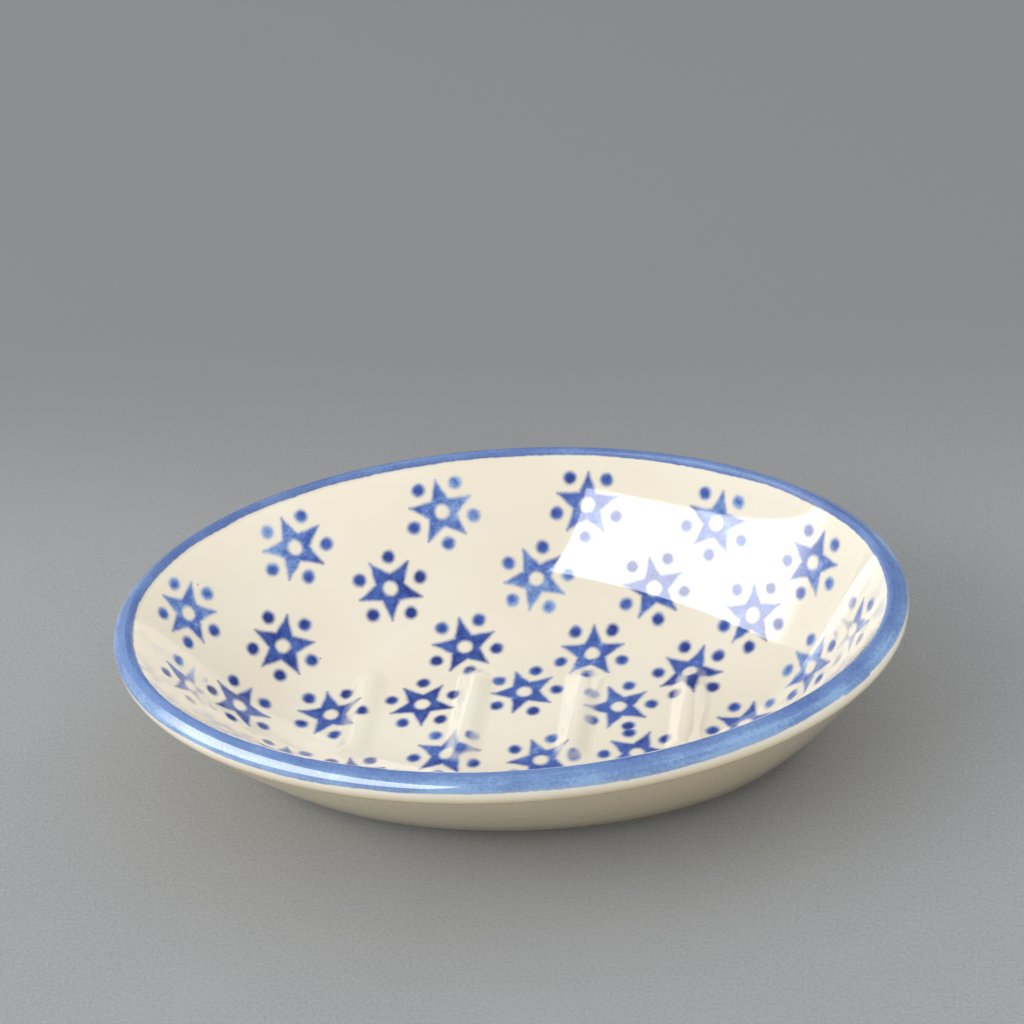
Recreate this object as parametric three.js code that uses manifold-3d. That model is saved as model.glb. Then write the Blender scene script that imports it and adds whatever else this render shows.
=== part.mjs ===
// Oval glazed soap dish that stands free: a shallow bowl with a rolled rim, a low foot ring
// and four soap ribs across its floor.
// Units are millimetres. +X runs along the dish, +Y across it and +Z up.
// The origin is on the table, under the middle of the oval.

import * as THREE from 'three';
import { mergeVertices } from 'three/addons/utils/BufferGeometryUtils.js';
import Module from 'manifold-3d';

// Overall size
const LENGTH = 150;
const WIDTH = 101.4;
const HEIGHT = 33;

// Rolled rim: it caps the wall with a broad face that slopes outwards, and rolls over to hang
// a little way down the outside
const RIM_THICKNESS = 4.2; // across the lip, where the inner wall meets it
const RIM_CAP = 1.4; // from the rim's top down to the wall's top edge
const RIM_EDGE = 0.4; // soft inner edge of the lip, down from the rim's top
const RIM_CROWN = 2.7; // the highest line of the rim, in from the outer edge
const CROWN_SWEEP = 0.25; // short, so the lip turns quickly onto its sloping face
const SHOULDER_INSET = 0.22; // where the sloping face ends, in from the outer edge
const SHOULDER_DROP = 1.64; // and down from the rim's top
const SHOULDER_SLOPE = 47; // degrees off the level
const SHOULDER_SWEEP = 1.2;
const RIM_BELLY = 2.95; // from the rim's top down to its widest point
const RIM_DEPTH = 6; // from the rim's top down to the crease under it
const RIM_TURN = 1.25; // the roll turns under this far above the crease
const RIM_TUCK = 1.2; // the crease under the rim, in from the outer edge
const RIM_LEDGE = 2.4; // the step in the wall that the rim hooks over, in from the outer edge

// Wall and floor of the bowl
const INNER_LEAN = 37; // degrees off the vertical, at the top of the inside
const LIP_SWEEP = 22; // pull of the inside curve at the lip
const FLOOR_SWEEP = 15; // and where it runs out on the floor
const OUTER_LEAN = 37; // degrees off the vertical, just under the rim
const OUTER_SWEEP = 23.3; // pull of the outside curve under the rim
const FLOOR_HEIGHT = 5.6; // top of the floor above the table
const FLOOR_INSET = 39.3; // the floor is flat this far in from the outer edge
const BASE_INSET = 22.5; // the wall ends on the underside this far in from the outer edge

// Foot ring
const FOOT_HEIGHT = 1.5;
const FOOT_INSET = 23.7; // outside of the ring, in from the dish's outer edge
const FOOT_WIDTH = 4.5;
const FOOT_ROUND = 0.6; // softened lower edges

// Soap ribs: long rounded ridges across the floor, part sunk in it
const RIB_COUNT = 4;
const RIB_PITCH = 21;
const RIB_LENGTH = 30;
const RIB_HEIGHT = 1.3; // above the floor
const RIB_RADIUS = 3.4; // of the bar's round ends, seen from above
const RIB_HALF_DEPTH = 2; // the bar is flattened to an oval section
const RIB_ROUND_STEPS = 20;
const RIB_END_STEPS = 5;

// Smoothness of the swept surfaces
const OVAL_SIDES = 72;
const WALL_STEPS = 10;
const RIM_STEPS = 5;
const FOOT_STEPS = 3;

const wallTop = HEIGHT - RIM_CAP;
const crease = HEIGHT - RIM_DEPTH;

const wasm = await Module();
wasm.setup();

// A step of a given length down the wall, as distance in from the edge and height.
function downWall(leanDegrees, distance) {
  const lean = THREE.MathUtils.degToRad(leanDegrees);
  return new THREE.Vector2(distance * Math.sin(lean), -distance * Math.cos(lean));
}

// A level ring of the oval. Every ring keeps the same distance in from the edge all round,
// so the wall is as steep at the ends of the dish as along its sides.
function ovalRing(inset, z) {
  const ring = [];
  for (let side = 0; side < OVAL_SIDES; side++) {
    const turn = (side / OVAL_SIDES) * 2 * Math.PI;
    const x = (LENGTH / 2 - inset) * Math.cos(turn);
    const y = (WIDTH / 2 - inset) * Math.sin(turn);
    ring.push(x, y, z);
  }
  return ring;
}

// Carries a section once round the oval. The section gives distance in from the edge against
// height, and runs up the inside and down the outside. A closed section makes a ring. An open
// one is finished by a flat floor inside and a flat base underneath.
function sweepRoundOval(section, closed) {
  const positions = [];
  const faces = [];
  for (const point of section) {
    positions.push(...ovalRing(point.x, point.y));
  }
  const strips = closed ? section.length : section.length - 1;
  for (let strip = 0; strip < strips; strip++) {
    const here = strip * OVAL_SIDES;
    const next = ((strip + 1) % section.length) * OVAL_SIDES;
    for (let side = 0; side < OVAL_SIDES; side++) {
      const beside = (side + 1) % OVAL_SIDES;
      faces.push(here + side, next + side, next + beside);
      faces.push(here + side, next + beside, here + beside);
    }
  }
  if (!closed) {
    const floorMiddle = positions.length / 3;
    const baseMiddle = floorMiddle + 1;
    const lastRing = (section.length - 1) * OVAL_SIDES;
    positions.push(0, 0, section[0].y);
    positions.push(0, 0, section[section.length - 1].y);
    for (let side = 0; side < OVAL_SIDES; side++) {
      const beside = (side + 1) % OVAL_SIDES;
      faces.push(floorMiddle, side, beside);
      faces.push(baseMiddle, lastRing + beside, lastRing + side);
    }
  }
  const geometry = new THREE.BufferGeometry();
  geometry.setAttribute('position', new THREE.Float32BufferAttribute(positions, 3));
  geometry.setIndex(faces);
  return geometry;
}

// The bowl: a flat floor, one long curve up the inside, a stepped top edge for the rim,
// a slightly fuller curve down the outside and a flat underside.
function bowlGeometry() {
  const lip = new THREE.Vector2(RIM_THICKNESS, wallTop);
  const lipPull = downWall(INNER_LEAN, LIP_SWEEP).add(lip);
  const underRim = new THREE.Vector2(RIM_TUCK, crease);
  const outerPull = downWall(OUTER_LEAN, OUTER_SWEEP).add(underRim);
  const section = new THREE.Path();
  section.moveTo(FLOOR_INSET, FLOOR_HEIGHT);
  section.bezierCurveTo(
    FLOOR_INSET - FLOOR_SWEEP, FLOOR_HEIGHT,
    lipPull.x, lipPull.y,
    lip.x, lip.y,
  );
  section.lineTo(RIM_LEDGE, wallTop);
  section.lineTo(RIM_LEDGE, crease);
  section.lineTo(underRim.x, underRim.y);
  section.quadraticCurveTo(outerPull.x, outerPull.y, BASE_INSET, FOOT_HEIGHT);
  return sweepRoundOval(section.getPoints(WALL_STEPS), false);
}

// The rolled rim: it carries on from the inner wall, turns over its crown onto a sloping face,
// swells to the widest line of the dish, rolls under to the crease and hooks over the step in
// the wall.
function rimGeometry() {
  const lean = Math.tan(THREE.MathUtils.degToRad(INNER_LEAN));
  const slope = THREE.MathUtils.degToRad(SHOULDER_SLOPE);
  const edgeX = RIM_THICKNESS - (RIM_CAP - RIM_EDGE) * lean;
  const shoulder = new THREE.Vector2(SHOULDER_INSET, HEIGHT - SHOULDER_DROP);
  const shoulderPull = new THREE.Vector2(Math.cos(slope), Math.sin(slope))
    .multiplyScalar(SHOULDER_SWEEP).add(shoulder);
  const section = new THREE.Path();
  section.moveTo(RIM_THICKNESS, wallTop);
  section.lineTo(edgeX, HEIGHT - RIM_EDGE);
  section.quadraticCurveTo(edgeX - RIM_EDGE * lean, HEIGHT, RIM_CROWN, HEIGHT);
  section.bezierCurveTo(
    RIM_CROWN - CROWN_SWEEP, HEIGHT,
    shoulderPull.x, shoulderPull.y,
    shoulder.x, shoulder.y,
  );
  section.quadraticCurveTo(
    0, shoulder.y - shoulder.x * Math.tan(slope),
    0, HEIGHT - RIM_BELLY,
  );
  section.quadraticCurveTo(0, crease + RIM_TURN, RIM_TUCK, crease);
  section.lineTo(RIM_LEDGE, crease);
  section.lineTo(RIM_LEDGE, wallTop);
  return sweepRoundOval(section.getPoints(RIM_STEPS), true);
}

// The foot ring: a low band under the bowl with softened lower edges.
function footGeometry() {
  const inside = FOOT_INSET + FOOT_WIDTH;
  const section = new THREE.Path();
  section.moveTo(inside, FOOT_ROUND);
  section.lineTo(inside, FOOT_HEIGHT);
  section.lineTo(FOOT_INSET, FOOT_HEIGHT);
  section.lineTo(FOOT_INSET, FOOT_ROUND);
  section.quadraticCurveTo(FOOT_INSET, 0, FOOT_INSET + FOOT_ROUND, 0);
  section.lineTo(inside - FOOT_ROUND, 0);
  section.quadraticCurveTo(inside, 0, inside, FOOT_ROUND);
  const points = section.getPoints(FOOT_STEPS);
  points.pop(); // the last point repeats the first
  return sweepRoundOval(points, true);
}

function toSolid(geometry) {
  const bare = geometry.clone();
  bare.deleteAttribute('normal');
  bare.deleteAttribute('uv');
  const merged = mergeVertices(bare);
  return new wasm.Manifold(new wasm.Mesh({
    numProp: 3,
    vertProperties: new Float32Array(merged.attributes.position.array),
    triVerts: new Uint32Array(merged.index.array),
  }));
}

function toGeometry(solid) {
  const mesh = solid.getMesh();
  const geometry = new THREE.BufferGeometry();
  geometry.setAttribute('position', new THREE.BufferAttribute(mesh.vertProperties, mesh.numProp));
  geometry.setIndex(new THREE.BufferAttribute(mesh.triVerts, 1));
  return geometry;
}

// One soap rib: a long flattened bar with round ends, sunk until the rib's height shows above the
// floor. What lies below the floor is trimmed off along it, so it sits on the bowl all over.
function ribGeometry(x, bowl) {
  const sunk = RIB_HALF_DEPTH - RIB_HEIGHT;
  const reach = RIB_RADIUS * Math.sqrt(1 - (sunk / RIB_HALF_DEPTH) ** 2);
  const bar = new THREE.CapsuleGeometry(
    RIB_RADIUS, RIB_LENGTH - 2 * reach, RIB_END_STEPS, RIB_ROUND_STEPS,
  );
  bar.scale(1, 1, RIB_HALF_DEPTH / RIB_RADIUS);
  bar.translate(x, 0, FLOOR_HEIGHT - sunk);
  return toGeometry(toSolid(bar).subtract(toSolid(bowl)));
}

const creamGlaze = { color: '#efe6cf', roughness: 0.12, metalness: 0 };
const blueGlaze = { color: '#5f86c4', roughness: 0.14, metalness: 0 };
const bareClay = { color: '#d9cbb0', roughness: 0.85, metalness: 0 };

const dish = new THREE.Group();

function addPiece(name, geometry, finish) {
  geometry.computeVertexNormals();
  const piece = new THREE.Mesh(geometry, new THREE.MeshStandardMaterial(finish));
  piece.name = name;
  dish.add(piece);
}

const bowl = bowlGeometry();
addPiece('bowl', bowl, creamGlaze);
addPiece('rolled_rim', rimGeometry(), blueGlaze);
addPiece('foot_ring', footGeometry(), bareClay);
for (let rib = 0; rib < RIB_COUNT; rib++) {
  const x = (rib - (RIB_COUNT - 1) / 2) * RIB_PITCH;
  addPiece(`soap_rib_${rib + 1}`, ribGeometry(x, bowl), creamGlaze);
}

export default dish;
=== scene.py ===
import math
import random

import bpy
from mathutils import Euler, Matrix, Vector, kdtree
from mathutils.geometry import interpolate_bezier


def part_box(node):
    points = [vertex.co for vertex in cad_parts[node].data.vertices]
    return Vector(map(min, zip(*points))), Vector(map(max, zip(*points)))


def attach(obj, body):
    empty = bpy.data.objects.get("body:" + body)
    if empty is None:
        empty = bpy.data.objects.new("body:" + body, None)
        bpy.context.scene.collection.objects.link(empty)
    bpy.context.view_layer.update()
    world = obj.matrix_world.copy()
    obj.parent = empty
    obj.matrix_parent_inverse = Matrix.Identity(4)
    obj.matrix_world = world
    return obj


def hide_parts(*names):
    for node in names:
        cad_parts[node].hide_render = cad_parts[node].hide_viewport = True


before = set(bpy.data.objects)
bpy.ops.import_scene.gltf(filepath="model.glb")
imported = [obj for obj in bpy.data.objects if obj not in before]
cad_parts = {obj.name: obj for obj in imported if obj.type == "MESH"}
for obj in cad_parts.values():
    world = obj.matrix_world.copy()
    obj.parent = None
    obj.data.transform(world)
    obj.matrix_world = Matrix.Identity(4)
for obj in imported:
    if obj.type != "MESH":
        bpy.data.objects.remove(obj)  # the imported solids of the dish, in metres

mm = 0.001
smoothAngle = math.radians(30)  # edges sharper than this stay sharp
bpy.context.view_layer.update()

# sizes that the solids settle
rimLow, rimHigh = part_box("rolled_rim")
bowlLow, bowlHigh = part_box("bowl")
footLow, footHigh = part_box("foot_ring")
ribNames = sorted(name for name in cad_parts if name.startswith("soap_rib"))
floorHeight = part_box(ribNames[0])[0].z
halfLength = rimHigh.x
halfWidth = rimHigh.y


# modelling helpers

def bend(start, startPull, endPull, end, steps):
    return interpolate_bezier(start, startPull, endPull, end, steps + 1)[1:]


def softTurn(start, corner, end, steps):  # leaves towards the corner and arrives from it
    return bend(start, start.lerp(corner, 2 / 3), end.lerp(corner, 2 / 3), end, steps)


def downWall(lean, distance):  # a step down the wall, as inset and height
    return Vector((distance * math.sin(math.radians(lean)), -distance * math.cos(math.radians(lean))))


def ovalAt(point):  # half length, half width and height of the level oval at an inset
    return Vector((halfLength - point.x, halfWidth - point.x, point.y))


def startOval(name, oval, sides, fill="NOTHING"):
    bpy.ops.object.select_all(action="DESELECT")
    bpy.ops.mesh.primitive_circle_add(vertices=sides, radius=1, fill_type=fill, calc_uvs=False)
    piece = bpy.context.object
    piece.name = name
    piece.data.name = name
    bpy.ops.object.mode_set(mode="EDIT")
    bpy.ops.mesh.select_all(action="SELECT")
    bpy.ops.transform.resize(value=(oval.x, oval.y, 1))
    bpy.ops.transform.translate(value=(0, 0, oval.z))
    if fill != "NOTHING":
        bpy.ops.mesh.region_to_loop()  # only the edge of the disc goes on
    return piece


def carryOn(ovals):  # extrudes the selected ring through each oval in turn
    for here, there in zip(ovals, ovals[1:]):
        bpy.ops.mesh.extrude_region_move(TRANSFORM_OT_translate={"value": (0, 0, there.z - here.z)})
        bpy.ops.transform.resize(value=(there.x / here.x, there.y / here.y, 1))


def pickVertices(piece, wanted):  # leaves edit mode on with the wanted vertices selected
    bpy.ops.object.mode_set(mode="EDIT")
    bpy.ops.mesh.select_mode(type="VERT")
    bpy.ops.mesh.select_all(action="DESELECT")
    bpy.ops.object.mode_set(mode="OBJECT")
    for vertex in piece.data.vertices:
        vertex.select = wanted(vertex.co)
    bpy.ops.object.mode_set(mode="EDIT")


def closeRing():  # bridges the two open ends of a ring
    bpy.ops.mesh.select_all(action="SELECT")
    bpy.ops.mesh.region_to_loop()
    bpy.ops.mesh.bridge_edge_loops()


def finishMesh(piece):
    bpy.ops.mesh.select_all(action="SELECT")
    bpy.ops.mesh.normals_make_consistent(inside=False)
    bpy.ops.object.mode_set(mode="OBJECT")
    bpy.ops.object.shade_smooth_by_angle(angle=smoothAngle)
    print("modelled", piece.name, "with", len(piece.data.polygons), "faces")
    return piece


# bowl: floor disc, one long curve up the inside, the step under the rim, and down the outside

bowlShape = {
    "sides": 256,
    "lip": 4.2 * mm,  # the inner wall ends here, in from the outer edge
    "ledge": 2.4 * mm,  # step that the rim hooks over
    "innerLean": 35,  # degrees off the vertical
    "lipSweep": 31.7 * mm,
    "floorSweep": 9.8 * mm,
    "outerLean": 37,
    "outerSweep": 23.3 * mm,
    "floorInset": 41 * mm,
    "baseInset": 22.5 * mm,
    "baseRound": 1.4 * mm,  # soft corner where the wall turns under
    "floorSteps": 16,
    "innerSteps": 64,
    "outerSteps": 40,
    "roundSteps": 6,
    "baseSteps": 10,
}


def makeBowl(shape):
    tuck = halfLength - bowlHigh.x
    crease = rimLow.z
    floorEdge = Vector((shape["floorInset"], floorHeight))
    lip = Vector((shape["lip"], bowlHigh.z))
    lipPull = lip + downWall(shape["innerLean"], shape["lipSweep"])
    floorPull = floorEdge - Vector((shape["floorSweep"], 0))
    underRim = Vector((tuck, crease))
    outerPull = underRim + downWall(shape["outerLean"], shape["outerSweep"])
    baseCorner = Vector((shape["baseInset"], bowlLow.z))

    section = [floorEdge]
    section += bend(floorEdge, floorPull, lipPull, lip, shape["innerSteps"])
    section += [Vector((shape["ledge"], bowlHigh.z)), Vector((shape["ledge"], crease)), underRim]
    outside = softTurn(underRim, outerPull, baseCorner, shape["outerSteps"])
    section += [point for point in outside if (point - baseCorner).length > shape["baseRound"]]
    underEdge = baseCorner + Vector((shape["baseRound"], 0))
    section += softTurn(section[-1], baseCorner, underEdge, shape["roundSteps"])

    wallOvals = [ovalAt(point) for point in section]
    edge = wallOvals[0]
    steps = shape["floorSteps"]
    floorOvals = [Vector((edge.x * k / steps, edge.y * k / steps, edge.z)) for k in range(1, steps)]
    last = wallOvals[-1]
    steps = shape["baseSteps"]
    baseOvals = [Vector((last.x * k / steps, last.y * k / steps, last.z)) for k in range(steps - 1, 0, -1)]

    ovals = floorOvals + wallOvals + baseOvals
    bowl = startOval("glazedBowl", ovals[0], shape["sides"], fill="TRIFAN")
    carryOn(ovals)
    bpy.ops.mesh.extrude_region_move()
    bpy.ops.mesh.merge(type="CENTER")  # the base closes on one vertex
    return finishMesh(bowl)


# rolled rim: from the inner wall over its crown, down a sloping face to the belly, back to the crease

rimShape = {
    "sides": bowlShape["sides"],
    "edge": 0.4 * mm,  # soft inner edge of the lip
    "crown": 2.7 * mm,  # highest line, in from the outer edge
    "crownSweep": 0.25 * mm,
    "shoulder": (0.22 * mm, 1.64 * mm),  # end of the sloping face, in from the edge and down
    "shoulderSlope": 47,
    "shoulderSweep": 1.2 * mm,
    "belly": 2.95 * mm,  # widest line, down from the top
    "turn": 1.25 * mm,  # the roll turns under this far above the crease
    "edgeSteps": 8,
    "faceSteps": 20,
    "bellySteps": 10,
    "underSteps": 12,
}


def rimSection(shape):
    top = rimHigh.z
    seam = Vector((bowlShape["lip"], bowlHigh.z))
    lean = math.tan(math.radians(bowlShape["innerLean"]))
    edge = Vector((seam.x - (top - shape["edge"] - seam.y) * lean, top - shape["edge"]))
    edgeCorner = Vector((edge.x - shape["edge"] * lean, top))
    crown = Vector((shape["crown"], top))
    inward, down = shape["shoulder"]
    shoulder = Vector((inward, top - down))
    slope = math.radians(shape["shoulderSlope"])
    shoulderPull = shoulder + Vector((math.cos(slope), math.sin(slope))) * shape["shoulderSweep"]
    shoulderCorner = Vector((0, shoulder.y - inward * math.tan(slope)))
    belly = Vector((0, top - shape["belly"]))
    crease = Vector((halfLength - bowlHigh.x, rimLow.z))

    section = [seam, seam.lerp(edge, 0.5), edge]
    section += softTurn(edge, edgeCorner, crown, shape["edgeSteps"])
    crownPull = crown - Vector((shape["crownSweep"], 0))
    section += bend(crown, crownPull, shoulderPull, shoulder, shape["faceSteps"])
    section += softTurn(shoulder, shoulderCorner, belly, shape["bellySteps"])
    section += softTurn(belly, Vector((0, crease.y + shape["turn"])), crease, shape["underSteps"])
    section += [Vector((bowlShape["ledge"], crease.y)), Vector((bowlShape["ledge"], seam.y))]
    return section


def makeRim(shape):
    ovals = [ovalAt(point) for point in rimSection(shape)]
    rim = startOval("glazedRim", ovals[0], shape["sides"])
    carryOn(ovals)
    closeRing()
    return finishMesh(rim)


# foot ring: a low band with softened lower edges

footShape = {
    "sides": 192,
    "width": 4.5 * mm,
    "edgeRound": 0.6 * mm,
    "roundSteps": 5,
    "sideSteps": 3,
}


def makeFoot(shape):
    outside = halfLength - footHigh.x
    inside = outside + shape["width"]
    edge = shape["edgeRound"]
    low, high = footLow.z, footHigh.z
    section = [Vector((inside, high)), Vector((outside, high))]
    side = Vector((outside, low + edge))
    section += [section[-1].lerp(side, k / shape["sideSteps"]) for k in range(1, shape["sideSteps"] + 1)]
    section += softTurn(side, Vector((outside, low)), Vector((outside + edge, low)), shape["roundSteps"])
    section += [Vector((inside - edge, low))]
    section += softTurn(section[-1], Vector((inside, low)), Vector((inside, low + edge)), shape["roundSteps"])
    ovals = [ovalAt(point) for point in section]
    foot = startOval("bareFoot", ovals[0], shape["sides"])
    carryOn(ovals)
    closeRing()
    return finishMesh(foot)


# soap ribs: a strip laid on the bowl, its crest pulled up with a soft falloff, closed underneath

ribShape = {
    "soft": 4.2 * mm,  # reach of the falloff on both sides of the crest
    "crest": 0.01 * mm,  # only the middle line of the strip is pulled
    "acrossSteps": 32,
    "alongSteps": 96,
    "lift": 0.005 * mm,  # stands this far proud of the bowl at its edges
    "root": 0.3 * mm,  # depth of the closed underside
}


def makeRib(name, node, bowl, shape):
    low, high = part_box(node)
    centre = (low.x + high.x) / 2
    soft = shape["soft"]
    length = high.y - low.y
    bpy.ops.object.select_all(action="DESELECT")
    bpy.ops.mesh.primitive_grid_add(
        x_subdivisions=shape["acrossSteps"], y_subdivisions=shape["alongSteps"], size=1,
        calc_uvs=False, location=(0, 0, 0))
    rib = bpy.context.object
    rib.name = name
    rib.data.name = name
    bpy.ops.object.mode_set(mode="EDIT")
    bpy.ops.mesh.select_all(action="SELECT")
    bpy.ops.transform.resize(value=(2 * soft, length, 1))
    bpy.ops.transform.translate(value=(centre, 0, rimHigh.z))
    bpy.ops.object.mode_set(mode="OBJECT")

    lay = rib.modifiers.new("layOnBowl", "SHRINKWRAP")
    lay.target = bowl
    lay.wrap_method = "PROJECT"
    lay.use_project_z = True
    lay.use_positive_direction = False
    lay.use_negative_direction = True
    bpy.ops.object.modifier_apply(modifier=lay.name)

    crestEnd = length / 2 - soft
    pickVertices(rib, lambda spot: abs(spot.x - centre) < shape["crest"] and abs(spot.y) < crestEnd)
    bpy.ops.transform.translate(
        value=(0, 0, high.z - floorHeight), use_proportional_edit=True,
        proportional_edit_falloff="SMOOTH", proportional_size=soft)
    bpy.ops.object.mode_set(mode="OBJECT")
    pickVertices(rib, lambda spot: math.hypot(spot.x - centre, max(abs(spot.y) - crestEnd, 0)) > soft)
    bpy.ops.mesh.delete(type="VERT")  # rounds the ends of the strip off
    bpy.ops.mesh.select_all(action="SELECT")
    bpy.ops.transform.translate(value=(0, 0, shape["lift"]))
    bpy.ops.mesh.region_to_loop()
    bpy.ops.mesh.extrude_region_move(TRANSFORM_OT_translate={"value": (0, 0, -shape["root"])})
    bpy.ops.mesh.edge_face_add()
    bpy.ops.mesh.quads_convert_to_tris()
    return finishMesh(rib)


bowl = makeBowl(bowlShape)
rim = makeRim(rimShape)
foot = makeFoot(footShape)
bpy.context.view_layer.update()
ribs = [makeRib(f"glazedRib{number}", node, bowl, ribShape) for number, node in enumerate(ribNames, 1)]


# stamps: where the sponge was pressed. The rows give the share of the way round in percent, the
# distance in from the edge in mm and the turn in degrees, the floor gives spots in mm and the turn

stampLook = {
    "radius": 6.4 * mm,
    "uneven": 0.2,  # how much more ink one side of a stamp gets
    "seed": 76,
    "reach": 1.6,  # a print ends here, in stamp radii
    "upright": 0.1,  # faces that look up less than this take no ink
    "elsewhere": (9, 9),  # a place outside every print
    "flank": (0.86, 0.98),  # the sponge bridges the parts of a rib that look up less
    "upperRow": ((1.1, 11, 46), (7.4, 9.8, 35), (14.3, 9.7, 55), (22.2, 9.5, 9), (30.7, 9.5, 40),
                 (39.4, 9.5, 69), (47.3, 9.4, 40), (52.5, 12.7, 17), (63, 9.6, 12), (71.6, 9.6, 58),
                 (79.4, 9.6, 30), (87.4, 9.6, 4), (94.6, 9.6, 48)),
    "lowerRow": ((1.4, 19.5, 45), (8.8, 19.7, 70), (16.7, 19.6, 19), (25.3, 19.2, 43), (35.3, 18.2, 70),
                 (44.4, 20.8, 31), (51.5, 20.9, 5), (58.4, 21.3, 16), (67.8, 19.4, 10), (75.4, 19.4, 36),
                 (83.4, 19.4, 62), (91.6, 19.4, 24)),
    "floorSpots": ((42.9, -4.2, 8), (30.8, 11.5, 67), (11.1, 17.5, 18), (-14, 19.3, 34), (-37.6, 0.8, 34),
                   (-29.6, -18.8, 31), (-13.2, -11.1, 10), (5.1, -12.9, 42), (23.1, -11.2, 2),
                   (-20.2, 3.7, 61), (-0.8, 7.1, 41), (18, 2.4, 42)),
    "tones": ((0.3, 0.58), (0.32, 0.78), (0.48, 0.92)),  # lightest and darkest ink, rows and floor
    "slipped": (0, 7),  # two stamps of the upper row took well only next to the rim
    "slip": (0.55, -1.1),  # how much fails at the middle of those, and for each radius outwards
    "under": 1.25,  # a full print this near, in stamp radii, covers a slipped one
}


def ovalWalk(inset, steps=1440):  # turn angles, and the distance walked round the oval to each
    wide, deep = halfLength - inset, halfWidth - inset
    angles = [2 * math.pi * k / steps for k in range(steps + 1)]
    spots = [Vector((wide * math.cos(angle), deep * math.sin(angle))) for angle in angles]
    lengths = [0.0]
    for here, there in zip(spots, spots[1:]):
        lengths.append(lengths[-1] + (there - here).length)
    return angles, lengths


def clamp(value):
    return max(0.0, min(1.0, value))


def rowSpots(row):
    spots = []
    for share, inset, turn in row:
        inset *= mm
        angles, lengths = ovalWalk(inset)
        wanted = lengths[-1] * share / 100
        step = min(range(len(lengths)), key=lambda k: abs(lengths[k] - wanted))
        x = (halfLength - inset) * math.cos(angles[step])
        y = (halfWidth - inset) * math.sin(angles[step])
        spots.append((x, y, turn))
    return spots


def pressStamps(look):
    floorSpots = [(x * mm, y * mm, turn) for x, y, turn in look["floorSpots"]]
    groups = (rowSpots(look["upperRow"]), rowSpots(look["lowerRow"]), floorSpots)
    spots = [(*spot, tones) for group, tones in zip(groups, look["tones"]) for spot in group]
    chance = random.Random(look["seed"])
    stamps = []
    for number, (x, y, turn, tones) in enumerate(spots):
        centre, normal = bowl.ray_cast(Vector((x, y, rimHigh.z)), Vector((0, 0, -1)))[1:3]
        along = Vector((0, 1, 0)).cross(normal).normalized()
        along.rotate(Matrix.Rotation(math.radians(turn), 3, normal))
        lean = chance.uniform(0, 2 * math.pi)  # the side that was pressed harder
        stamps.append({"centre": centre, "along": along, "across": normal.cross(along),
                       "tone": chance.uniform(*tones), "outward": Vector((x, y, 0)).normalized(),
                       "slipped": number in look["slipped"],
                       "lean": Vector((math.cos(lean), math.sin(lean))) * look["uneven"]})
    return stamps


def placeStamps(piece, stamps, look, washed=False):
    radius = look["radius"]
    flankLow, flankHigh = look["flank"]
    failed, failedOutwards = look["slip"]
    finder = kdtree.KDTree(len(stamps))
    for number, stamp in enumerate(stamps):
        finder.insert(stamp["centre"], number)
    finder.balance()
    mesh = piece.data
    for layer in ("stampPlace", "stampInk"):
        mesh.uv_layers.new(name=layer)
    place, ink = mesh.uv_layers["stampPlace"], mesh.uv_layers["stampInk"]
    for face in mesh.polygons:
        nearest, second = finder.find_n(face.center, 2)
        if stamps[nearest[1]]["slipped"] and second[2] < look["under"] * radius:
            nearest = second
        number, distance = nearest[1:]
        stamp = stamps[number]
        inside = face.normal.z > look["upright"] and distance < look["reach"] * radius
        press = 1.0  # 0 is bridged, 1 a full print and 2 a slipped one
        if washed:
            press = clamp((face.normal.z - flankLow) / (flankHigh - flankLow))
        for loop in face.loop_indices:
            vertex = mesh.vertices[mesh.loops[loop].vertex_index]
            away = (vertex.co - stamp["centre"]) / radius
            spot = Vector((away.dot(stamp["along"]), away.dot(stamp["across"])))
            if stamp["slipped"]:
                press = 1.0 + clamp(failed + failedOutwards * away.dot(stamp["outward"]))
            place.data[loop].uv = spot if inside else look["elsewhere"]
            ink.data[loop].uv = (stamp["tone"] + spot.dot(stamp["lean"]), press)


stamps = pressStamps(stampLook)
placeStamps(bowl, stamps, stampLook)
for rib in ribs:
    placeStamps(rib, stamps, stampLook, washed=True)
print("pressed", len(stamps), "stamps")


# band: distance along the brush stroke and across the rim. Its edges give where they begin and end
# to shift, and their place across the rim on both sides of that

bandLook = {
    "strokeStart": 330,  # degrees round the oval, where the stroke begins and overlaps its end
    "innerEdge": (-32 * mm, -8 * mm, 1.7 * mm, 0.5 * mm),  # paint begins further up the lip at the front
    "outerEdge": (45 * mm, 70 * mm, 6.2 * mm, 5.6 * mm),  # and ends at the belly, sooner at the right
    "edgeSoft": 0.2 * mm,
    "slowWaver": (60, 1.2 * mm),  # noise scale, and how far the edges stray
    "quickWaver": (900, 0.3 * mm),
    "overlap": (8.1 * mm, 9 * mm),  # the second coat fades out here
    "overlapReach": 0.45 * mm,  # and reaches lower
    "thinLip": (0.6 * mm, 2.2 * mm),  # here the glaze runs thin over the lip's edge
    "thinSoft": 0.3 * mm,
}


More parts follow.
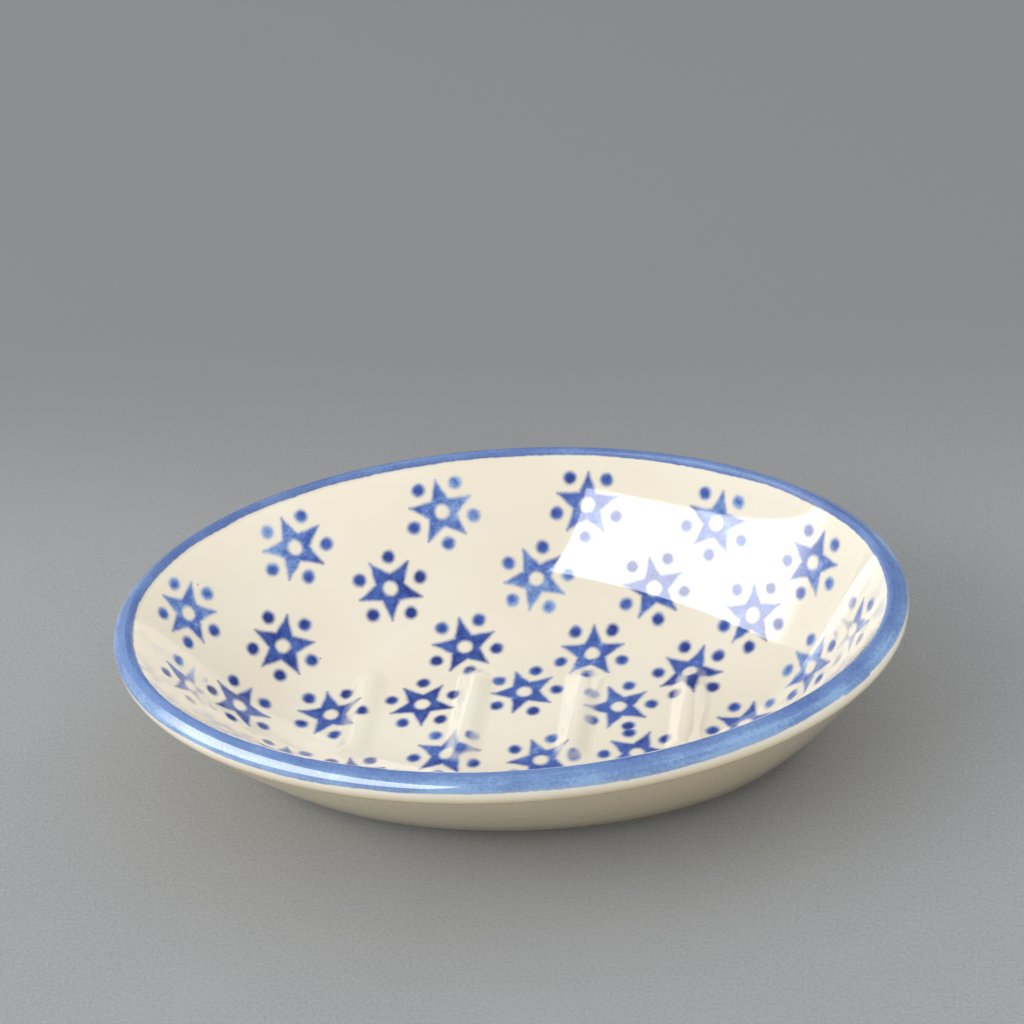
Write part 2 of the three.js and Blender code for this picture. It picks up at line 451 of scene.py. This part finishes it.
def placeBand(piece, look):
    section = rimSection(rimShape)
    across = [0.0]
    for here, there in zip(section, section[1:]):
        across.append(across[-1] + (there - here).length)
    strokeLength = ovalWalk(0)[1][-1]
    sides = rimShape["sides"]
    begin = math.radians(look["strokeStart"])
    mesh = piece.data
    place = mesh.uv_layers.new(name="bandPlace")
    for face in mesh.polygons:
        middle = math.atan2(face.center.y / halfWidth, face.center.x / halfLength)
        for loop in face.loop_indices:
            index = mesh.loops[loop].vertex_index
            point = mesh.vertices[index].co
            inset = section[index // sides].x
            angle = math.atan2(point.y / (halfWidth - inset), point.x / (halfLength - inset))
            share = ((middle - begin) % (2 * math.pi) + math.remainder(angle - middle, 2 * math.pi))
            walked = share / (2 * math.pi) * strokeLength
            place.data[loop].uv = (walked, across[index // sides])


placeBand(rim, bandLook)


# material helpers

def addNode(tree, kind, **settings):
    node = tree.nodes.new(kind)
    for name, value in settings.items():
        setattr(node, name, value)
    return node


def feed(tree, socket, value):
    if isinstance(value, bpy.types.NodeSocket):
        tree.links.new(value, socket)
    else:
        socket.default_value = value


def calc(tree, operation, first, second=0.0, third=0.0):
    node = addNode(tree, "ShaderNodeMath", operation=operation)
    for socket, value in zip(node.inputs, (first, second, third)):
        feed(tree, socket, value)
    return node.outputs[0]


def ease(tree, value, low, high, start=0.0, end=1.0):  # smooth step from start to end
    node = addNode(tree, "ShaderNodeMapRange", interpolation_type="SMOOTHSTEP")
    names = ("Value", "From Min", "From Max", "To Min", "To Max")
    for name, number in zip(names, (value, low, high, start, end)):
        feed(tree, node.inputs[name], number)
    return node.outputs["Result"]


def cloud(tree, place, scale, detail=2.0, roughness=0.5):
    node = addNode(tree, "ShaderNodeTexNoise")
    feed(tree, node.inputs["Vector"], place)
    feed(tree, node.inputs["Scale"], scale)
    feed(tree, node.inputs["Detail"], detail)
    feed(tree, node.inputs["Roughness"], roughness)
    return node.outputs["Fac"]


def swing(tree, noise, spread):  # turns noise of 0 to 1 into a change to both sides
    return calc(tree, "MULTIPLY_ADD", noise, spread, -spread / 2)


def tint(tree, amount, first, second):
    node = addNode(tree, "ShaderNodeMix", data_type="RGBA")
    feed(tree, node.inputs["Factor"], amount)
    feed(tree, node.inputs[6], first)
    feed(tree, node.inputs[7], second)
    return node.outputs[2]


def newFinish(name):
    finish = bpy.data.materials.new(name)
    finish.use_nodes = True
    tree = finish.node_tree
    place = addNode(tree, "ShaderNodeTexCoord").outputs["Object"]
    return finish, tree, tree.nodes["Principled BSDF"], place


def parts(tree, vector):
    node = addNode(tree, "ShaderNodeSeparateXYZ")
    feed(tree, node.inputs["Vector"], vector)
    return node.outputs


def lookingUp(tree):  # 1 where the surface looks up and -1 where it looks down
    return parts(tree, addNode(tree, "ShaderNodeNewGeometry").outputs["Normal"])["Z"]


def uvPair(tree, layer):
    pair = parts(tree, addNode(tree, "ShaderNodeUVMap", uv_map=layer).outputs["UV"])
    return pair["X"], pair["Y"]


# clear glaze over cream clay. Four numbers in a row are where a change begins and ends and its two
# values, two numbers go from 0 to 1

glazeLook = {
    "thin": (0.87, 0.825, 0.71, 1),
    "pooled": (0.84, 0.785, 0.645, 1),
    "driftScale": 38,
    "drift": (0.32, 0.68),  # from thin to pooled
    "outside": (0.83, 0.69, 0.4, 1),
    "paintedShadeDown": (-0.55, 0.05, 1.0, 0.0),  # painted shade: a darker, warmer tint comes in where the wall looks down
    "speck": (0.13, 0.085, 0.045, 1),
    "speckScale": 120,
    "speckFade": (0.012, 0.034, 0.75, 0.0),
    "roughness": (0.3, 0.7, 0.04, 0.09),  # follows the drift
    "wornRoughness": 0.3,  # added where the glaze runs thin over an edge
    "wornCoat": -0.85,
    "coatRoughness": 0.03,
    "thinCoat": (-55 * mm, 5 * mm, 0.3, 1.0),  # the glaze is thinner towards the left end
    "coatIor": 2.2,  # a rich shine
}


def creamGlaze(tree, place, look):
    drift = cloud(tree, place, look["driftScale"], detail=3)
    colour = tint(tree, ease(tree, drift, *look["drift"]), look["thin"], look["pooled"])
    # painted shade: faces that look down are tinted darker and warmer
    colour = tint(tree, ease(tree, lookingUp(tree), *look["paintedShadeDown"]), colour, look["outside"])
    spots = addNode(tree, "ShaderNodeTexVoronoi", feature="F1")
    feed(tree, spots.inputs["Vector"], place)
    feed(tree, spots.inputs["Scale"], look["speckScale"])
    speck = ease(tree, spots.outputs["Distance"], *look["speckFade"])
    return drift, colour, speck


def finishGlaze(tree, shader, colour, drift, speck, look, worn=None):
    feed(tree, shader.inputs["Base Color"], tint(tree, speck, colour, look["speck"]))
    shader.inputs["Coat Weight"].default_value = 1.0
    shader.inputs["Coat Roughness"].default_value = look["coatRoughness"]
    shader.inputs["Coat IOR"].default_value = look["coatIor"]
    rough = ease(tree, drift, *look["roughness"])
    if worn:
        rough = calc(tree, "MULTIPLY_ADD", worn, look["wornRoughness"], rough)
        coat = calc(tree, "MULTIPLY_ADD", worn, look["wornCoat"], 1.0)
        feed(tree, shader.inputs["Coat Weight"], coat)
    feed(tree, shader.inputs["Roughness"], rough)


inkLook = {
    "wash": (0.22, 0.37, 0.68, 1),
    "middle": (0.05, 0.125, 0.455, 1),
    "deep": (0.003, 0.028, 0.235, 1),
    "arms": 5,
    "arm": 0.45,  # half width of a star arm at the middle, in stamp radii
    "slippedArm": 0.135,
    "tip": 1.08,
    "tipCut": (0.06, 2.0),  # how far before the tip the arm is cut off, and how quickly
    "taper": 1.2,
    "hole": 0.22,
    "ring": 0.975,  # the dots stand on this ring
    "dot": 0.2,
    "soft": 0.085,
    "wobble": (600, 0.08),  # noise scale, and how far the edges stray
    "blotch": (330, 1.5),  # noise scale, and how much it changes the depth of the ink
    "grain": (1900, 0.4),
    "pooled": 0.35,
    "toMiddle": (0.0, 0.55),
    "toDeep": (0.45, 1.1),
    "bridged": (0.0, 1.0, 0.3, 0.97),  # cover, by how the stamp was pressed
    "slipped": (1.2, 2.0, 1.0, 0.35),
}


def stampShape(tree, place, press, look):  # 1 on the ink and 0 on the bare glaze, and where ink pools
    along, across = uvPair(tree, "stampPlace")
    wobbleScale, stray = look["wobble"]
    wobble = swing(tree, cloud(tree, place, wobbleScale, detail=2), stray)
    reach = calc(tree, "SQRT", calc(tree, "ADD", calc(tree, "MULTIPLY", along, along),
                                    calc(tree, "MULTIPLY", across, across)))
    turn = calc(tree, "ARCTAN2", across, along)
    turn = calc(tree, "MULTIPLY_ADD", turn, look["arms"] / (2 * math.pi), 0.5)
    fold = calc(tree, "ABSOLUTE", calc(tree, "SUBTRACT", calc(tree, "FRACT", turn), 0.5))
    folded = calc(tree, "MULTIPLY", fold, 2 * math.pi / look["arms"])  # 0 on an arm, most between two
    outward = calc(tree, "MULTIPLY", reach, calc(tree, "COSINE", folded))
    sideways = calc(tree, "MULTIPLY", reach, calc(tree, "SINE", folded))
    left = calc(tree, "MAXIMUM", calc(tree, "MULTIPLY_ADD", outward, -1 / look["tip"], 1.0), 0.0)
    wide = ease(tree, press, 1.0, 2.0, look["arm"], look["slippedArm"])
    arm = calc(tree, "MULTIPLY", calc(tree, "POWER", left, look["taper"]), wide)
    before, quickly = look["tipCut"]
    past = calc(tree, "MAXIMUM", calc(tree, "SUBTRACT", outward, look["tip"] - before), 0.0)
    sideways = calc(tree, "MULTIPLY_ADD", past, quickly, sideways)
    arm = calc(tree, "ADD", calc(tree, "SUBTRACT", arm, sideways), wobble)
    star = ease(tree, arm, -look["soft"], look["soft"])
    eye = calc(tree, "ADD", reach, wobble)
    bare = ease(tree, eye, look["hole"] - look["soft"], look["hole"] + look["soft"])
    star = calc(tree, "MULTIPLY", star, bare)
    dotTurn = calc(tree, "COSINE", calc(tree, "SUBTRACT", math.pi / look["arms"], folded))
    apart = calc(tree, "MULTIPLY_ADD", reach, reach, look["ring"] ** 2)
    between = calc(tree, "MULTIPLY", calc(tree, "MULTIPLY", reach, 2 * look["ring"]), dotTurn)
    apart = calc(tree, "SUBTRACT", apart, between)
    apart = calc(tree, "ADD", calc(tree, "SQRT", calc(tree, "MAXIMUM", apart, 0.0)), wobble)
    dot = ease(tree, apart, look["dot"] - look["soft"], look["dot"] + look["soft"], 1.0, 0.0)
    pool = ease(tree, apart, 0.0, look["dot"], 1.0, 0.0)  # ink gathers in the middle of a dot
    return calc(tree, "MAXIMUM", star, dot), pool


def glazedClay(name, glaze, ink):
    finish, tree, shader, place = newFinish(name)
    drift, colour, speck = creamGlaze(tree, place, glaze)
    tone, press = uvPair(tree, "stampInk")
    mask, pool = stampShape(tree, place, press, ink)
    blotchScale, blotchDepth = ink["blotch"]
    blotch = cloud(tree, place, blotchScale, detail=3, roughness=0.6)
    grainScale, grainDepth = ink["grain"]
    grain = cloud(tree, place, grainScale, detail=1)
    depth = calc(tree, "ADD", swing(tree, blotch, blotchDepth), tone)
    depth = calc(tree, "ADD", depth, swing(tree, grain, grainDepth))
    depth = calc(tree, "MULTIPLY_ADD", pool, ink["pooled"], depth)
    blue = tint(tree, ease(tree, depth, *ink["toMiddle"]), ink["wash"], ink["middle"])
    blue = tint(tree, ease(tree, depth, *ink["toDeep"]), blue, ink["deep"])
    cover = calc(tree, "MULTIPLY", mask, ease(tree, press, *ink["bridged"]))
    cover = calc(tree, "MULTIPLY", cover, ease(tree, press, *ink["slipped"]))
    colour = tint(tree, cover, colour, blue)
    finishGlaze(tree, shader, colour, drift, speck, glaze)
    feed(tree, shader.inputs["Coat Weight"], ease(tree, parts(tree, place)["X"], *glaze["thinCoat"]))
    return finish


paintLook = {
    "light": (0.23, 0.395, 0.66, 1),
    "middle": (0.12, 0.225, 0.485, 1),
    "deep": (0.055, 0.125, 0.38, 1),
    "bristles": (45.0, 900.0),  # noise scale along the stroke and across it
    "streak": 0.8,
    "pool": (90, 1.0),  # noise scale, and how much it changes the depth of the paint
    "grain": (1700, 0.6),
    "middleDepth": 0.5,
    "secondCoat": 0.08,
    "lighterOut": (1.4 * mm, 5.2 * mm, 0.26, -0.18),
    "toMiddle": (0.1, 0.55),
    "toDeep": (0.5, 1.05),
    "cover": 0.96,
}


def bandedClay(name, glaze, paint, band):
    finish, tree, shader, place = newFinish(name)
    drift, colour, speck = creamGlaze(tree, place, glaze)
    walked, across = uvPair(tree, "bandPlace")
    slowScale, slowStray = band["slowWaver"]
    quickScale, quickStray = band["quickWaver"]
    slow = swing(tree, cloud(tree, place, slowScale, detail=3), slowStray)
    quick = swing(tree, cloud(tree, place, quickScale, detail=1), quickStray)
    level = calc(tree, "ADD", calc(tree, "ADD", across, slow), quick)
    lapped = ease(tree, walked, *band["overlap"], 1.0, 0.0)
    outer = calc(tree, "SUBTRACT", level, calc(tree, "MULTIPLY", lapped, band["overlapReach"]))
    soft = band["edgeSoft"]
    spot = parts(tree, place)
    begun = calc(tree, "SUBTRACT", level, ease(tree, spot["Y"], *band["innerEdge"]))
    mask = ease(tree, begun, -soft, soft)
    ended = calc(tree, "SUBTRACT", outer, ease(tree, spot["X"], *band["outerEdge"]))
    mask = calc(tree, "MULTIPLY", mask, ease(tree, ended, -soft, soft, 1.0, 0.0))

    stroke = addNode(tree, "ShaderNodeCombineXYZ")  # the bristles run along the rim
    alongScale, acrossScale = paint["bristles"]
    feed(tree, stroke.inputs["X"], calc(tree, "MULTIPLY", walked, alongScale))
    feed(tree, stroke.inputs["Y"], calc(tree, "MULTIPLY", across, acrossScale))
    streak = cloud(tree, stroke.outputs["Vector"], 1.0, detail=3, roughness=0.6)
    poolScale, poolDepth = paint["pool"]
    pool = cloud(tree, place, poolScale, detail=3)
    grainScale, grainDepth = paint["grain"]
    grain = cloud(tree, place, grainScale, detail=2)
    depth = swing(tree, streak, paint["streak"])
    depth = calc(tree, "ADD", depth, swing(tree, pool, poolDepth))
    depth = calc(tree, "ADD", depth, swing(tree, grain, grainDepth))
    coats = calc(tree, "MULTIPLY_ADD", lapped, paint["secondCoat"], paint["middleDepth"])
    depth = calc(tree, "ADD", depth, coats)
    depth = calc(tree, "ADD", depth, ease(tree, across, *paint["lighterOut"]))
    blue = tint(tree, ease(tree, depth, *paint["toMiddle"]), paint["light"], paint["middle"])
    blue = tint(tree, ease(tree, depth, *paint["toDeep"]), blue, paint["deep"])
    colour = tint(tree, calc(tree, "MULTIPLY", mask, paint["cover"]), colour, blue)
    lipStart, lipEnd = band["thinLip"]
    worn = ease(tree, across, lipStart, lipStart + band["thinSoft"])
    worn = calc(tree, "MULTIPLY", worn, ease(tree, across, lipEnd - band["thinSoft"], lipEnd, 1.0, 0.0))
    finishGlaze(tree, shader, colour, drift, speck, glaze, worn)
    return finish


clayLook = {
    "light": (0.66, 0.56, 0.41, 1),
    "dark": (0.55, 0.45, 0.32, 1),
    "paintedSideShade": (0.17, 0.14, 0.1, 1),  # painted shade: the sides of the ring, next to what the dish stands on, are painted dark
    "sides": (-0.9, -0.4),  # from looking down to looking out
    "glazeLine": (0.77 * mm, 0.93 * mm),  # the glaze is wiped off below this height
    "waver": (250, 0.8 * mm),  # noise scale, and how far that line strays
    "grainScale": 900,
    "grain": (0.35, 0.65),  # from dark to light
    "roughness": (0.0, 1.0, 0.85, 0.08),  # from bare to glazed
    "bump": 0.03 * mm,
}


def footClay(name, glaze, clay):
    finish, tree, shader, place = newFinish(name)
    colour, speck = creamGlaze(tree, place, glaze)[1:]
    waverScale, stray = clay["waver"]
    ragged = swing(tree, cloud(tree, place, waverScale, detail=3), stray)
    height = calc(tree, "ADD", parts(tree, place)["Z"], ragged)
    glazed = ease(tree, height, *clay["glazeLine"])
    grain = cloud(tree, place, clay["grainScale"], detail=4, roughness=0.65)
    bare = tint(tree, ease(tree, grain, *clay["grain"]), clay["dark"], clay["light"])
    colour = tint(tree, glazed, bare, colour)
    # painted shade: the ring's sides are painted dark, faces that look down keep their colour
    colour = tint(tree, ease(tree, lookingUp(tree), *clay["sides"]), colour, clay["paintedSideShade"])
    feed(tree, shader.inputs["Base Color"], tint(tree, speck, colour, glaze["speck"]))
    feed(tree, shader.inputs["Roughness"], ease(tree, glazed, *clay["roughness"]))
    bump = addNode(tree, "ShaderNodeBump")
    feed(tree, bump.inputs["Distance"], clay["bump"])
    feed(tree, bump.inputs["Height"], calc(tree, "MULTIPLY", grain, calc(tree, "SUBTRACT", 1.0, glazed)))
    feed(tree, shader.inputs["Normal"], bump.outputs["Normal"])
    return finish


creamFinish = glazedClay("creamGlaze", glazeLook, inkLook)
bandFinish = bandedClay("bandGlaze", glazeLook, paintLook, bandLook)
footFinish = footClay("bareClay", glazeLook, clayLook)
bowl.data.materials.append(creamFinish)
for rib in ribs:
    rib.data.materials.append(creamFinish)
rim.data.materials.append(bandFinish)
foot.data.materials.append(footFinish)
print("glazed the dish")


# the pieces take the places of the solids

swaps = [(bowl, "bowl", "cream_glaze"), (rim, "rolled_rim", "blue_band_glaze"),
         (foot, "foot_ring", "bare_clay")]
swaps += [(rib, node, "cream_glaze") for rib, node in zip(ribs, ribNames)]
for piece, node, slotName in swaps:
    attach(piece, "root")
    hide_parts(node)


# studio: grey paper, one long soft box at the left, three dim cards and an even sky

studio = {
    "floorSize": 6,
    "floorTint": (0.295, 0.307, 0.320, 1),
    "floorShade": (0.245, 0.255, 0.266, 1),
    "paintedFarShade": (0.195, 0.204, 0.215, 1),  # painted shade: the paper is painted darker behind the dish
    "farFrom": (0.03, 0.14),
    "mottle": (6, 0.6, -0.2),  # noise scale, share and offset
    "fibres": (1600, 0.8),
    "mottleEdge": (0.3, 0.7),
    "floorRoughness": 0.7,
    "boxAzimuth": -75.7,
    "boxElevation": 34.3,
    "boxDistance": 1.1,
    "boxWide": 2.0,
    "boxTall": 0.47,
    "boxRoll": 31.6,
    "boxPower": 8.2,
    "boxFade": (0.29, 0.46, 0.12, 1.0),  # the box is dimmer towards its far end
    "cardAzimuth": -128,  # a dim white card behind the left end
    "cardElevation": 14,
    "cardDistance": 1.1,
    "cardWide": 0.8,
    "cardTall": 0.5,
    "cardPower": 0.15,
    "lowCards": ((-80, 1.9), (80, 0.9)),  # azimuth and power, for the outside of the wall
    "lowElevation": 2,
    "lowDistance": 0.7,
    "lowWide": 0.6,
    "lowTall": 0.05,
    "skyTint": (1.0, 0.99, 0.98, 1),
    "skyLevel": 1.13,
    "mirroredSky": 0.06,  # the studio is darker where the glaze mirrors it
}


def fromDish(azimuth, elevation, distance):  # azimuth 0 is the front of the dish
    turn, lift = math.radians(azimuth), math.radians(elevation)
    level = math.cos(lift)
    return Vector((math.sin(turn) * level, -math.cos(turn) * level, math.sin(lift))) * distance


bpy.ops.object.select_all(action="DESELECT")
bpy.ops.mesh.primitive_plane_add(size=studio["floorSize"], location=(0, 0, 0))
floor = bpy.context.object
floor.name = "studioFloor"
floorFinish, tree, shader, place = newFinish("studioGrey")
mottleScale, mottleShare, mottleOffset = studio["mottle"]
fibreScale, fibreShare = studio["fibres"]
mottle = cloud(tree, place, mottleScale, detail=6, roughness=0.6)
mottle = calc(tree, "MULTIPLY_ADD", mottle, mottleShare, mottleOffset)
fibres = cloud(tree, place, fibreScale, detail=2)
mottle = calc(tree, "MULTIPLY_ADD", fibres, fibreShare, mottle)
paper = tint(tree, ease(tree, mottle, *studio["mottleEdge"]), studio["floorShade"], studio["floorTint"])
# painted shade: darker paper behind the dish
paper = tint(tree, ease(tree, parts(tree, place)["Y"], *studio["farFrom"]), paper, studio["paintedFarShade"])
feed(tree, shader.inputs["Base Color"], paper)
feed(tree, shader.inputs["Roughness"], studio["floorRoughness"])
floor.data.materials.append(floorFinish)


def hangBox(name, place, wide, tall, power, roll=0.0):
    bpy.ops.object.light_add(type="AREA", location=place)
    box = bpy.context.object
    box.name = name
    box.data.shape = "RECTANGLE"
    box.data.size = wide
    box.data.size_y = tall
    box.data.energy = power
    facing = (-place).to_track_quat("-Z", "Y").to_matrix()
    box.rotation_euler = (facing @ Matrix.Rotation(math.radians(roll), 3, "Z")).to_euler()
    return box


boxPlace = fromDish(studio["boxAzimuth"], studio["boxElevation"], studio["boxDistance"])
softBox = hangBox("softBox", boxPlace, studio["boxWide"], studio["boxTall"], studio["boxPower"],
                  studio["boxRoll"])
softBox.data.use_nodes = True
tree = softBox.data.node_tree
acrossBox = parts(tree, addNode(tree, "ShaderNodeNewGeometry").outputs["Parametric"])["X"]
feed(tree, tree.nodes["Emission"].inputs["Strength"], ease(tree, acrossBox, *studio["boxFade"]))
cardPlace = fromDish(studio["cardAzimuth"], studio["cardElevation"], studio["cardDistance"])
hangBox("softCard", cardPlace, studio["cardWide"], studio["cardTall"], studio["cardPower"])
for number, (azimuth, power) in enumerate(studio["lowCards"], 1):
    lowPlace = fromDish(azimuth, studio["lowElevation"], studio["lowDistance"])
    lowCard = hangBox(f"lowCard{number}", lowPlace, studio["lowWide"], studio["lowTall"], power)
    lowCard.visible_glossy = False  # it lights the clay and leaves the shine alone
    lowCard.visible_camera = False

world = bpy.data.worlds.new("softSky")
world.use_nodes = True
bpy.context.scene.world = world
sky = world.node_tree.nodes["Background"]
sky.inputs["Color"].default_value = studio["skyTint"]
tree = world.node_tree
ray = addNode(tree, "ShaderNodeLightPath").outputs["Is Glossy Ray"]
dimmed = calc(tree, "MULTIPLY_ADD", ray, studio["mirroredSky"] - studio["skyLevel"], studio["skyLevel"])
feed(tree, sky.inputs["Strength"], dimmed)


# camera at the photo's viewing angle

cameraLook = {
    "azimuth": 13.593,
    "elevation": 36.8,
    "roll": -9.34,
    "distance": 0.8,
    "aim": (3.97 * mm, 1.12 * mm, 53.53 * mm),
    "lens": 153.57,
    "sensor": 36,
}
tip = math.radians(90 - cameraLook["elevation"])  # from looking straight down
pose = Euler((tip, 0, math.radians(cameraLook["azimuth"]))).to_matrix()
pose = pose @ Matrix.Rotation(math.radians(cameraLook["roll"]), 3, "Z")
away = fromDish(cameraLook["azimuth"], cameraLook["elevation"], cameraLook["distance"])
bpy.ops.object.camera_add(location=Vector(cameraLook["aim"]) + away, rotation=pose.to_euler())
camera = bpy.context.object
camera.name = "photoCamera"
camera.data.lens = cameraLook["lens"]
camera.data.sensor_width = cameraLook["sensor"]
bpy.context.scene.camera = camera
bpy.context.scene.view_settings.view_transform = "Standard"
print("set the studio")
